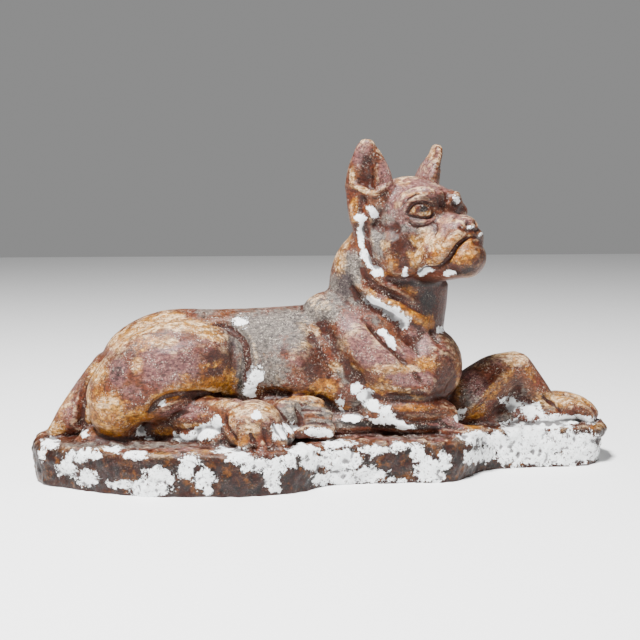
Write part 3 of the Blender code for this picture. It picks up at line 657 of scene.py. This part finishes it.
# %% Dabs of colour
DABS = {
    "bare": [
        (241, 322, 9, 6), (256, 376, 10, 9), (250, 391, 8, 8), (162, 403, 6, 3, 1, -30),
        (141, 432, 5, 6, 1, -40), (150, 438, 6, 3), (190, 437, 16, 4), (206, 431, 15, 7, 1, -10),
        (216, 423, 7, 6), (84, 434, 5, 5, .9), (256, 415, 6, 5), (279, 432, 8, 9), (291, 428, 7, 6, .9),
        (320, 433, 14, 5), (373, 212, 7, 4, 1, 45), (361, 218, 6, 4), (361, 234, 4, 17),
        (366, 256, 4, 15, 1, -20), (376, 271, 6, 7, 1, -35), (376, 303, 11, 5, 1, 25),
        (393, 313, 14, 7, 1, 30), (404, 323, 7, 7), (384, 333, 7, 4, 1, 30), (391, 343, 4, 9, 1, -35),
        (439, 330, 4, 4), (405, 273, 4, 6), (425, 271, 9, 4, 1, -10), (449, 273, 6, 3),
        (457, 201, 3, 5, 1, -20), (470, 227, 4, 3, .8), (480, 235, 3, 3), (357, 388, 6, 6),
        (366, 396, 9, 8, 1, 30), (374, 405, 12, 7, 1, 20), (386, 412, 9, 6, 1, 20), (354, 418, 14, 4),
        (388, 421, 20, 4, 1, 5), (404, 427, 10, 3), (340, 404, 6, 9, .6), (462, 411, 6, 4, .9, -30),
        (458, 418, 6, 3, .9), (512, 404, 12, 7, .8, 30), (530, 411, 14, 8), (562, 419, 28, 5),
        (590, 420, 8, 4), (50, 443, 9, 6), (42, 455, 4, 6, .9), (80, 456, 20, 7, 1, -8), (66, 468, 11, 9),
        (88, 478, 10, 9, 1, 40), (128, 485, 24, 5, 1, 3), (148, 490, 24, 8), (135, 455, 14, 5),
        (112, 449, 12, 3), (160, 478, 17, 11), (190, 461, 12, 7), (186, 472, 10, 8), (204, 479, 11, 10),
        (207, 490, 6, 5), (240, 457, 13, 8), (256, 465, 15, 8), (272, 468, 12, 10), (272, 481, 9, 8),
        (275, 489, 6, 5), (225, 450, 12, 4, .9), (302, 450, 18, 6), (315, 463, 17, 8), (290, 460, 8, 7),
        (335, 444, 18, 5), (342, 460, 22, 13), (345, 478, 26, 8), (322, 480, 12, 6), (367, 475, 20, 9),
        (375, 450, 20, 5, .8), (402, 446, 12, 5, .8), (395, 480, 12, 4, .8), (430, 471, 18, 14),
        (418, 454, 8, 11), (444, 462, 7, 13), (476, 438, 16, 8), (496, 441, 14, 10), (486, 454, 15, 8),
        (470, 458, 7, 8, .9), (505, 456, 10, 9), (520, 430, 18, 10), (540, 444, 30, 20),
        (575, 446, 26, 16), (545, 425, 24, 6), (588, 452, 16, 10), (550, 459, 44, 7), (525, 449, 20, 16),
    ],
    "amber": [
        (108, 412, 20, 18), (98, 400, 8, 24, .6), (112, 430, 18, 8, .7), (140, 415, 18, 9, .9, -20),
        (165, 397, 16, 5, .9, -10), (190, 388, 30, 6, .9, -5), (185, 378, 12, 6, .5),
        (215, 385, 24, 10, .8), (210, 365, 16, 6, .5, -10), (145, 343, 16, 9, .6, -20),
        (165, 432, 16, 6, .7), (205, 415, 14, 4, .4), (240, 440, 9, 8, .7), (232, 420, 6, 10, .5),
        (60, 408, 9, 18, .4, 30), (62, 452, 14, 5, .7), (110, 456, 10, 5, .6), (168, 463, 12, 6, .8),
        (200, 452, 16, 4, .6), (395, 304, 12, 5, .9, 25), (372, 292, 6, 8, .7, 40),
        (415, 317, 10, 6, .9, 30), (428, 322, 7, 10, .7), (410, 290, 10, 5, .6, 20), (330, 388, 9, 7, .7),
        (322, 398, 16, 6, .7), (345, 409, 8, 5, .6), (440, 252, 9, 6, 1, -40), (462, 252, 14, 12),
        (452, 240, 9, 5, .9, -45), (434, 262, 9, 4, .7), (468, 248, 4, 12, .8, 10), (392, 262, 8, 10, .5),
        (385, 273, 8, 6, .5), (355, 210, 5, 13, .9), (413, 262, 4, 10, .5, 20), (492, 392, 12, 6, 1, -45),
        (477, 412, 10, 7, .9, -40), (508, 376, 10, 6, .7, -45), (475, 426, 9, 4, .8),
        (585, 400, 12, 7, .7, 20), (530, 372, 6, 10, .5, -30), (560, 432, 6, 6, .6), (595, 430, 6, 5, .8),
        (565, 448, 5, 5, .4), (430, 447, 8, 5, .7), (365, 455, 10, 4, .3), (350, 352, 10, 4, .4, 50),
        (280, 392, 22, 5, .5, 5), (370, 182, 5, 7, .5), (300, 300, 6, 4, .6), (385, 380, 12, 4, .6, 20),
        (412, 408, 26, 4, .6), (375, 389, 14, 3, .8, 30), (426, 362, 12, 8, .7), (325, 388, 14, 9),
        (300, 396, 22, 5, .9), (205, 386, 34, 6, 1, -8), (228, 380, 8, 14, .7),
        (466, 250, 8, 12, .8, -20), (392, 262, 8, 10, .6),
    ],
    "mauve": [
        (170, 365, 34, 22, .9), (170, 345, 22, 8, .5), (118, 372, 10, 16, .8), (200, 345, 24, 10, .5),
        (115, 347, 16, 8, .6, -40), (130, 392, 14, 12, .5), (185, 412, 28, 7, .8), (240, 402, 16, 5, .6),
        (72, 415, 7, 10, .5, 30), (72, 388, 6, 14, .5, 35), (370, 350, 30, 16, 1, 30),
        (352, 325, 16, 12, .8), (395, 355, 14, 10, .6), (410, 378, 26, 8, .9), (418, 345, 16, 18, .8),
        (445, 355, 10, 22, .5), (300, 358, 14, 12, .6, 30), (380, 296, 14, 4, .6, 25),
        (420, 330, 14, 8, .6, 20), (410, 184, 24, 8, .8), (440, 188, 14, 8, .6, 20),
        (362, 155, 9, 14, .8, 20), (388, 170, 7, 9, .5), (425, 160, 8, 14, .5), (420, 218, 12, 4, .5),
        (465, 218, 9, 6, .7, 20), (450, 228, 12, 6, .4), (452, 262, 7, 8, .5),
        (480, 390, 12, 14, .7, -30), (470, 375, 12, 6, .7), (500, 360, 14, 5, .6, -20),
        (450, 424, 18, 6, .8), (312, 409, 22, 5, .5), (390, 436, 60, 4, .8, 3),
        (110, 470, 22, 8, .5, -20), (190, 450, 40, 3, .6), (145, 462, 18, 4, .4), (395, 455, 16, 8, .7),
        (250, 455, 10, 4, .5), (390, 200, 10, 12, .4), (270, 420, 12, 12, .4), (95, 462, 10, 5, .4),
        (265, 445, 14, 3, .4), (408, 186, 26, 9), (398, 206, 14, 14, .9), (420, 197, 18, 5, .8),
        (400, 226, 16, 8, .9), (434, 228, 14, 10, .9), (450, 220, 14, 7), (362, 148, 9, 9),
        (386, 172, 8, 11), (428, 154, 9, 14), (424, 172, 12, 6), (432, 244, 12, 10, .6),
        (370, 345, 28, 18, .8, 30), (475, 388, 12, 16, .8), (245, 415, 18, 10, .6),
        (65, 405, 9, 16, .7, 30), (520, 360, 12, 7, .6), (456, 242, 4, 8, .4, 40), (408, 226, 14, 5),
    ],
    "dust": [
        (302, 404, 18, 9, .9), (326, 412, 10, 6, .8), (255, 335, 30, 26), (285, 322, 26, 14),
        (245, 375, 10, 26, .9), (270, 370, 22, 18, .8), (320, 310, 24, 14, .9), (340, 290, 14, 18, .9),
        (352, 272, 12, 18, 1, 20), (300, 340, 20, 14, .7), (345, 375, 8, 16, .7, -30),
        (338, 345, 10, 14, .5, -30), (378, 235, 9, 28, .8), (388, 215, 10, 14, .5), (360, 300, 16, 8, .7),
        (362, 404, 14, 8, .7), (292, 414, 12, 12), (320, 422, 16, 4, .7), (340, 425, 30, 4, .6),
        (125, 445, 70, 4, .9), (230, 446, 30, 4, .7), (470, 400, 10, 16, .6, -20), (505, 420, 12, 8, .7),
        (520, 395, 10, 12, .6), (545, 405, 14, 10, .5), (460, 445, 10, 12, .7), (418, 228, 14, 6, .7),
        (400, 228, 12, 5, .8), (400, 435, 50, 4, .7, 3), (240, 475, 14, 12, .5), (205, 312, 14, 6, .6),
        (350, 262, 10, 12, .8), (375, 320, 10, 6, .6, 20),
    ],
    # Tan dabs: partly rubbed pale finish, partly painted highlights on lit tops and edges, and a painted
    # glint in the eye's corner.
    "tan": [
        (150, 325, 26, 9, .8, -25), (172, 317, 14, 5), (195, 328, 22, 5, .8), (212, 336, 14, 6, .8, 10),
        (165, 342, 14, 6, .8), (98, 372, 10, 10, .9), (88, 400, 3, 26, .8), (137, 365, 6, 12, .6),
        (55, 428, 9, 9, .8), (65, 400, 8, 16, .6, 30), (225, 404, 16, 4, .7), (240, 412, 10, 6, .8),
        (252, 430, 8, 10, .6), (270, 410, 10, 5, .6, 20), (195, 426, 16, 3, .7),
        (345, 368, 18, 6, .6, 10), (395, 369, 30, 5, .7), (390, 388, 24, 4, .6, 10),
        (250, 412, 14, 9, .9), (120, 340, 16, 8, .8, -40), (185, 325, 26, 7, .9, 5),
        (108, 405, 14, 10, .8), (215, 392, 22, 5, .7), (505, 352, 14, 6, .9), (430, 232, 14, 8, .6),
        (405, 398, 24, 3, .6), (430, 365, 14, 8, .4), (342, 345, 8, 8, .5), (310, 330, 14, 8, .5, 20),
        (305, 345, 8, 5, .5), (340, 262, 7, 14, .7), (346, 240, 5, 12, .7, 20), (415, 248, 9, 12),
        (430, 238, 12, 8, .9), (440, 244, 8, 7, .6, -40), (447, 221, 10, 4, .5), (414, 194, 14, 2.5, .8),
        (413, 210, 2.5, 3.5), (398, 205, 5, 5, .5), (352, 176, 3, 10, .7), (364, 190, 14, 3, .9, 15),
        (436, 216, 6, 3, .7), (430, 152, 5, 8, .8), (384, 246, 5, 6, .7), (515, 360, 12, 7, .8),
        (555, 400, 20, 8), (575, 398, 14, 8, .6, 10), (600, 426, 6, 4, .7), (535, 430, 6, 4, .5),
        (365, 448, 10, 4, .5), (160, 456, 16, 4, .8), (45, 445, 5, 6, .6), (105, 449, 10, 3, .6),
        (458, 380, 3, 20, .5), (470, 236, 3, 3, .5), (310, 404, 18, 2, .7, 10), (425, 214, 8, 3, .6),
        (402, 182, 10, 5, .5), (370, 330, 12, 3, .6, 45), (416, 258, 5, 9, 1, 10),
        (436, 246, 8, 5, .8, -40), (562, 440, 8, 10, .5), (545, 434, 10, 4, .4),
    ],
    # Umber dabs: mostly dark finish and stains; those under the throat and jaw are painted shade.
    "umber": [
        (414, 396, 26, 8, .9, 5), (135, 352, 12, 10, .5, -30), (468, 262, 16, 7, 1, -20),
        (474, 244, 5, 12, .7), (396, 246, 10, 10), (405, 240, 14, 4, .8, 10), (222, 370, 19, 22),
        (200, 395, 32, 5), (312, 362, 12, 20, .9, -25), (290, 350, 14, 5, .8), (445, 372, 12, 26, .9),
        (465, 268, 18, 8, .9), (480, 250, 6, 18, .8), (430, 310, 16, 20), (112, 438, 22, 4, .9),
        (165, 438, 14, 3, .9), (232, 355, 6, 16, .8), (78, 395, 4, 18, .6, 35), (65, 438, 14, 3, .7),
        (400, 250, 8, 20), (410, 238, 10, 4, .8), (425, 284, 40, 7, 1, 5), (430, 300, 16, 22),
        (438, 320, 8, 14, .9), (420, 412, 34, 5, .9), (392, 404, 12, 5, .5), (440, 398, 12, 14, .8),
        (450, 388, 6, 22, .8), (440, 202, 6, 9), (430, 199, 12, 3, .8, 10), (424, 210, 9, 5),
        (345, 285, 10, 16, .8), (412, 265, 6, 3, .8), (456, 208, 9, 6, .9), (418, 219, 14, 2.5, .8, -5),
        (420, 203, 14, 2, .9), (404, 248, 8, 16, 1, 15), (372, 165, 7, 14, .7, 20), (482, 248, 5, 16, .9),
        (460, 262, 16, 10, .7), (474, 268, 10, 8, .7), (474, 229, 8, 3, .6), (368, 160, 8, 14, .6, 20),
        (370, 182, 5, 9, .8), (363, 200, 8, 6, .7), (356, 226, 3, 6, .9), (500, 405, 7, 14, .8, 25),
        (518, 382, 8, 8, .6), (312, 350, 12, 14, .5, 30), (320, 372, 10, 10, .5, 30),
        (300, 392, 30, 4, .6), (45, 466, 12, 9), (222, 468, 14, 12, .9), (190, 488, 24, 6, .9),
        (300, 478, 24, 10, 1, -10), (250, 487, 26, 6, .6), (393, 468, 12, 14), (320, 458, 6, 8, .6),
        (448, 458, 8, 14, .8), (240, 480, 12, 10, .7), (442, 475, 10, 5, .7), (484, 462, 10, 5, .6),
        (435, 160, 3, 20, .5), (388, 290, 14, 3, .7, 25), (405, 298, 10, 3, .7, 25),
        (108, 462, 12, 5, .6), (172, 478, 6, 6, .6), (268, 432, 5, 12, .5), (120, 356, 8, 10, .5),
        (350, 446, 70, 2, .3, 2),
    ],
    # Black dabs: some dark crevices, stains and a pupil, and painted shadow lines under the chest and belly,
    # under the lip and along the rock's lower edge.
    "black": [
        (390, 425, 60, 3.5, 1, 3), (290, 440, 10, 3, .8), (200, 441, 50, 2.5, .6), (230, 397, 8, 3, .8),
        (240, 385, 3, 12, .7), (225, 478, 12, 10, .6), (245, 476, 10, 10, .5), (428, 300, 10, 16, .7),
        (358, 302, 5, 4, .6), (205, 316, 6, 3, .5, 20), (276, 326, 10, 4, .4), (320, 350, 5, 16, .4, -30),
        (478, 468, 14, 3, .9), (300, 488, 30, 3, .7), (560, 466, 40, 2, .7), (420, 284, 30, 4, .6),
        (594, 455, 6, 8, .8, 30), (50, 476, 16, 4, .7, 5), (150, 497, 40, 3, .5, 2),
        (395, 486, 50, 2.5, .8), (60, 441, 16, 2, .5), (466, 445, 10, 14, .5), (118, 372, 8, 12, .6),
        (412, 397, 24, 4, .5, 5), (466, 271, 14, 4, .6, -15), (424, 209, 4, 4, .8),
    ],
}
FADE_END = 1.5
px, py = seen_at(np.array([v.co for v in piece_mesh.vertices]))


def dab(x, y, half_x, half_y, strength=1, turn=0):
    """One soft oval, full in its middle half and faded out at FADE_END times its half sizes."""
    a = math.radians(turn)
    along = ((px - x) * math.cos(a) + (py - y) * math.sin(a)) / half_x
    across = ((py - y) * math.cos(a) - (px - x) * math.sin(a)) / half_y
    return strength * np.clip(FADE_END - np.sqrt(along**2 + across**2), 0, 1)


def write_mask(name, values):
    """Stores one number on each point of the mesh, for the material to read."""
    layer = piece_mesh.attributes.new(name, "FLOAT", "POINT")
    layer.data.foreach_set("value", values)


for name, dabs in DABS.items():
    write_mask(name, np.max([dab(*oval) for oval in dabs], axis=0))
print("masks painted:", ", ".join(DABS))

# %% [markdown]
# ## Where shade is painted in, and where the high places are paled
# The hollows and creases are darkened with painted shade, and so is the foot of the rock, while the
# high places are rubbed pale and the upward-facing tops get a painted highlight. How hollow a
# point is can be measured: compare it with the middle of its neighbours, along its normal. A few
# rounds of that find the fine creases, and many rounds find the broad hollows.

# %% Hollows
def neighbour_mean(values, pairs, count):
    """For every point, the mean of a value over its neighbours."""
    return np.bincount(pairs[0], values[pairs[1]], len(count)) / count


points = np.array([v.co for v in piece_mesh.vertices])
normals = np.array([n.vector for n in piece_mesh.vertex_normals])
edges = np.array([e.vertices[:] for e in piece_mesh.edges])
pairs = np.concatenate([edges, edges[:, ::-1]]).T
count = np.bincount(pairs[0], minlength=len(points))
FINE, BROAD = 3, 14
ROCK_HEIGHT, ROCK_FADE, FOOT_HEIGHT = 43, 8, 5
depths = {}
wide = points.copy()
for rounds in range(1, BROAD + 1):
    wide = np.stack([neighbour_mean(wide[:, axis], pairs, count) for axis in range(3)], axis=1)
    if rounds in (FINE, BROAD):
        deep = ((wide - points) * normals).sum(axis=1) * 1000
        depths[rounds] = 0.5 * deep + 0.5 * neighbour_mean(deep, pairs, count)
facing = normals[:, 2].copy()
for _ in range(10):
    facing = 0.5 * facing + 0.5 * neighbour_mean(facing, pairs, count)
high = points[:, 2] * 1000
# hollow and crease later carry painted shade, upward a painted highlight on the tops, and foot painted shade
# at the rock's lower edge
measured = {
    "hollow": 0.5 + depths[BROAD] * 0.3,
    "crease": 0.5 + depths[FINE],
    "upward": 0.5 + facing / 2,
    "foot": 1 - high / FOOT_HEIGHT,
    "rock": (ROCK_HEIGHT - high) / ROCK_FADE,
}
for name, values in measured.items():
    write_mask(name, np.clip(values, 0, 1))
for rounds, deep in depths.items():
    print("depth in mm at 1, 25, 50, 75 and 99%:", np.percentile(deep, (1, 25, 50, 75, 99)).round(2))

# %% [markdown]
# ## Sums on sockets
# A worn finish needs dozens of small sums, and wiring each Math node by hand hides the idea. This
# small class wraps an output socket, so that a * b + c in Python builds the nodes for it. Any
# other node comes from one method that takes its type, its settings and its inputs.

# %% A socket that can be used in sums
class Wire:
    tree = None

    def __init__(self, socket):
        self.socket = socket
        self.many = socket.type in ("RGBA", "VECTOR")

    @classmethod
    def make(cls, kind, output=0, settings=(), **inputs):
        node = cls.tree.nodes.new(kind)
        for name, value in dict(settings).items():
            setattr(node, name, value)
        for name, value in inputs.items():
            key = int(name[1:]) if name[0] == "i" and name[1:].isdigit() else name.replace("_", " ")
            cls.put(node.inputs[key], value)
        return cls(node.outputs[output])

    @classmethod
    def put(cls, socket, value):
        if isinstance(value, cls):
            cls.tree.links.new(value.socket, socket)
        else:
            socket.default_value = value

    def sum(self, operation, other, swap=False):
        a, b = (other, self) if swap else (self, other)
        if self.many or getattr(other, "many", False):
            a, b = [(v, v, v) if isinstance(v, (int, float)) else v for v in (a, b)]
            return self.make("ShaderNodeVectorMath", settings={"operation": operation}, i0=a, i1=b)
        return self.make("ShaderNodeMath", settings={"operation": operation}, i0=a, i1=b)

    def __add__(self, other):
        return self.sum("ADD", other)

    def __sub__(self, other):
        return self.sum("SUBTRACT", other)

    def __mul__(self, other):
        return self.sum("MULTIPLY", other)

    def __rsub__(self, other):
        return self.sum("SUBTRACT", other, swap=True)

    __radd__, __rmul__ = __add__, __mul__

    def ramp(self, low, high):
        """0 below low, 1 above high, and smooth in between."""
        settings = {"interpolation_type": "SMOOTHSTEP"}
        return self.make("ShaderNodeMapRange", settings=settings, Value=self, From_Min=low, From_Max=high)

    def mix(self, other, amount):
        """This colour turning into the other one by amount."""
        settings = {"data_type": "RGBA"}
        return self.make("ShaderNodeMix", 2, settings, i0=amount, i6=self, i7=other)


# %% [markdown]
# ## The worn finish
# The finish starts as plain brown and turns to mauve, dust, umber, amber and cream by the painted
# masks, each broken up by noise of its own size. Some masks also hold painted shade, painted
# shadow lines and painted highlights. The measured masks paint shade into creases, hollows and the
# foot of the rock, pale the high places as rubbed wear and give the upward tops a painted highlight,
# and pale flecks and dark pits lie over it all. Where the bare mask says, white plaster
# shows through with a ragged edge, and a Bump node gives the finish its thickness.

# %% Colours and layers
finish = bpy.data.materials.new("worn finish on plaster")
finish.use_nodes = True
Wire.tree = finish.node_tree
shader = finish.node_tree.nodes["Principled BSDF"]
place = Wire.make("ShaderNodeTexCoord", 3) * 1000


def grain(size, detail=3, rough=0.55, shift=0, stretch=(1, 1, 1)):
    """Noise whose lumps are about size millimetres across, from 0 to 1."""
    where = place * stretch + shift * 37.0
    return Wire.make("ShaderNodeTexNoise", Vector=where, Scale=1 / size, Detail=detail, Roughness=rough)


def mask(name):
    return Wire.make("ShaderNodeAttribute", 2, {"attribute_name": name})


def worn(name, size, ragged=0.7, shift=0, soft=0.12, stretch=(1, 1, 1)):
    """The painted mask with its edge broken up by noise."""
    edge = mask(name) + (grain(size, 5, 0.62, shift, stretch) - 0.5) * ragged * 2
    return edge.ramp(0.5 - soft, 0.5 + soft)


WHITE = (0.88, 0.90, 0.90, 1)
GREY = (0.16, 0.16, 0.145, 1)
BROWN = (0.100, 0.031, 0.010, 1)
RED = (0.085, 0.014, 0.006, 1)
AMBER = (0.205, 0.064, 0.002, 1)
GOLD = (0.56, 0.27, 0.035, 1)
MAUVE = (0.130, 0.053, 0.052, 1)
PINK = (0.27, 0.125, 0.095, 1)
DUST = (0.135, 0.125, 0.108, 1)
CREAM = (0.66, 0.45, 0.25, 1)
UMBER = (0.034, 0.0055, 0.0014, 1)
SMOKE = (0.030, 0.019, 0.021, 1)
BLACK = (0.004, 0.003, 0.003, 1)
PALE = (0.76, 0.68, 0.57, 1)
BRUSHED = (0.4, 1, 0.8)
hollow = mask("hollow")
crease = mask("crease")
upward = mask("upward")
rock_part = mask("rock")
streaks = grain(4, 6, 0.72, 19, BRUSHED)
colour = Wire.make("ShaderNodeRGB")
colour.socket.default_value = BROWN
colour = colour.mix(RED, grain(24, 4, 0.6, 1).ramp(0.42, 0.62) * 0.7)
colour = colour.mix(MAUVE, worn("mauve", 7, 0.6, 2, 0.25) * 0.9)
colour = colour.mix(PINK, worn("mauve", 6, 0.7, 24, 0.3) * grain(4, 6, 0.75, 25).ramp(0.47, 0.60) * 0.6)
# Painted highlight: pink streaks on the upward-facing tops, where light from above falls.
colour = colour.mix(PINK, upward.ramp(0.6, 1.0) * streaks.ramp(0.50, 0.60) * 0.35)
colour = colour.mix(DUST, worn("dust", 5, 0.7, 3, 0.25) * 0.8)
colour = colour.mix(SMOKE, worn("dust", 4, 0.9, 21, 0.2) * grain(5, 6, 0.75, 22).ramp(0.48, 0.62) * 0.75)
# The umber mask is partly dark finish and stains, and partly painted shade under the throat and jaw.
colour = colour.mix(UMBER, worn("umber", 7, 0.6, 4, 0.25) * (1 - mask("dust")) * 0.9)
colour = colour.mix(SMOKE, worn("umber", 7, 0.6, 4, 0.25) * mask("dust") * 0.9)
colour = colour.mix(AMBER, worn("amber", 7, 0.6, 5, 0.25) * 0.95)
colour = colour.mix(GOLD, worn("amber", 5, 0.9, 16, 0.2) * grain(6, 6, 0.75, 17).ramp(0.49, 0.62) * 0.75)
# The tan mask is partly rubbed pale finish and partly painted highlights, with a painted glint in the eye.
colour = colour.mix(GOLD, worn("tan", 6, 0.7, 23, 0.3) * 0.35)
colour = colour.mix(CREAM, worn("tan", 3.5, 1.0, 6, 0.15, BRUSHED) * streaks.ramp(0.48, 0.58) * 0.8)
# Pale on high, upward-facing places: rubbed wear on the raised forms plus a painted highlight where the tops
# face the light.
rubbed_and_top_highlight = (1 - hollow).ramp(0.80, 1.0) * upward.ramp(0.55, 0.95)
colour = colour.mix(CREAM, rubbed_and_top_highlight * streaks.ramp(0.48, 0.57) * 0.7)
rims = (1 - crease).ramp(0.84, 1.0) * (1 - mask("umber"))
colour = colour.mix(CREAM, rims * streaks.ramp(0.44, 0.58) * 0.45)
# Painted shade: umber darkening in the broad hollows and fine creases.
colour = colour.mix(UMBER, hollow.ramp(0.57, 0.80) * 0.92)
colour = colour.mix(UMBER, crease.ramp(0.60, 0.78) * 0.88)
# The black mask is partly dark crevices and stains, and partly painted shadow lines under the chest and
# belly, under the lip and along the rock's lower edge.
colour = colour.mix(BLACK, worn("black", 4, 0.6, 7, 0.25) * 0.9)
colour = colour.mix(UMBER, rock_part * grain(16, 5, 0.65, 27).ramp(0.20, 0.44) * 0.95)
colour = colour.mix(AMBER, rock_part * grain(13, 5, 0.7, 31).ramp(0.50, 0.60) * 0.7)
colour = colour.mix(BLACK, rock_part * grain(9, 6, 0.7, 29).ramp(0.46, 0.58) * 0.8)
# Painted shade: umber along the bottom few millimetres of the rock.
colour = colour.mix(UMBER, worn("foot", 5, 0.9, 26, 0.2))
colour = colour * (1 - rock_part * 0.4)
colour = colour * (grain(1.7, 6, 0.75, 20, BRUSHED).ramp(0.36, 0.64) * 1.0 + 0.26)
flecks = grain(1.6, 5, 0.8, 9).ramp(0.565, 0.62) * grain(11, 3, 0.6, 10).ramp(0.40, 0.60)
flecks = flecks * (1 - mask("umber") * 0.7) * (1 - rock_part * 0.75)
colour = colour.mix(PALE, flecks * 0.6)
pits = grain(1.4, 4, 0.75, 11).ramp(0.58, 0.66)
colour = colour.mix(BLACK, pits * 0.5)

plaster = Wire.make("ShaderNodeRGB")
plaster.socket.default_value = WHITE
plaster = plaster.mix(GREY, grain(4, 6, 0.8, 12).ramp(0.55, 0.66) * 0.65)
plaster = plaster.mix(UMBER, grain(3.5, 6, 0.75, 28).ramp(0.565, 0.60) * rock_part * 0.85)
# Painted shade on the bare plaster: grey in the hollows and dark in the creases.
plaster = plaster.mix(GREY, hollow.ramp(0.62, 0.9) * 0.6)
plaster = plaster.mix(SMOKE, crease.ramp(0.66, 0.88) * 0.75)
edge = mask("bare") + (grain(8, 6, 0.7, 13) - 0.5) * 3.2 + (grain(1.8, 4, 0.7, 30) - 0.5) * 1.0
bare = edge.ramp(0.56, 0.62) * mask("bare").ramp(0.02, 0.1)
chips = (mask("bare") * 0.8 + (grain(2.4, 5, 0.7, 18) - 0.5) * 2.2).ramp(0.76, 0.80)
bare = bare + chips - bare * chips
colour = colour.mix(plaster, bare)

grit = grain(0.9, 4, 0.7, 14)
height = (1 - bare) * 0.4 + grit * 0.3 + grain(3.5, 5, 0.65, 15) * (0.45 + bare * 1.3) - pits * 0.25
bump = Wire.make("ShaderNodeBump", 0, {}, Height=height, Distance=0.001, Strength=1.0)
Wire.put(shader.inputs["Base Color"], colour)
Wire.put(shader.inputs["Roughness"], 0.36 + bare * 0.5 + flecks * 0.3 + worn("dust", 6, 0.5, 3, 0.3) * 0.25)
Wire.put(shader.inputs["Normal"], bump)
shader.inputs["Specular IOR Level"].default_value = 0.25
piece_mesh.materials.append(finish)
print("finish:", len(finish.node_tree.nodes), "nodes")

# %% [markdown]
# ## Stage and light
# A pale floor and a white surround keep the colours of the finish true. A soft key light from the
# upper left gives the forms their shade, and a weaker one from the right opens the shadows.

# %% Floor, lights and surround
REACH = 4
corners = [(-REACH, -REACH, 0), (REACH, -REACH, 0), (REACH, REACH, 0), (-REACH, REACH, 0)]
floor_mesh = bpy.data.meshes.new("floor")
floor_mesh.from_pydata(corners, [], [(0, 1, 2, 3)])
floor = bpy.data.objects.new("floor", floor_mesh)
bpy.context.scene.collection.objects.link(floor)
pale = bpy.data.materials.new("pale floor")
pale.use_nodes = True
floor_shader = pale.node_tree.nodes["Principled BSDF"]
floor_shader.inputs["Base Color"].default_value = (0.86, 0.86, 0.86, 1)
floor_shader.inputs["Roughness"].default_value = 0.9
floor_mesh.materials.append(pale)


def soft_light(name, place, size, power):
    light = bpy.data.objects.new(name, bpy.data.lights.new(name, "AREA"))
    light.data.size = size
    light.data.energy = power
    light.location = place
    light.rotation_euler = (Vector(place) - Vector((0, 0, 0.12))).to_track_quat("Z", "Y").to_euler()
    bpy.context.scene.collection.objects.link(light)


soft_light("key", (-0.5, -0.8, 1.9), 0.4, 195)
soft_light("fill", (1.6, -1.5, 0.8), 1.2, 12)
world = bpy.data.worlds.new("surround")
bpy.context.scene.world = world
world.use_nodes = True
surround = world.node_tree.nodes["Background"]
surround.inputs["Color"].default_value = (1, 1, 1, 1)
surround.inputs["Strength"].default_value = 0.28
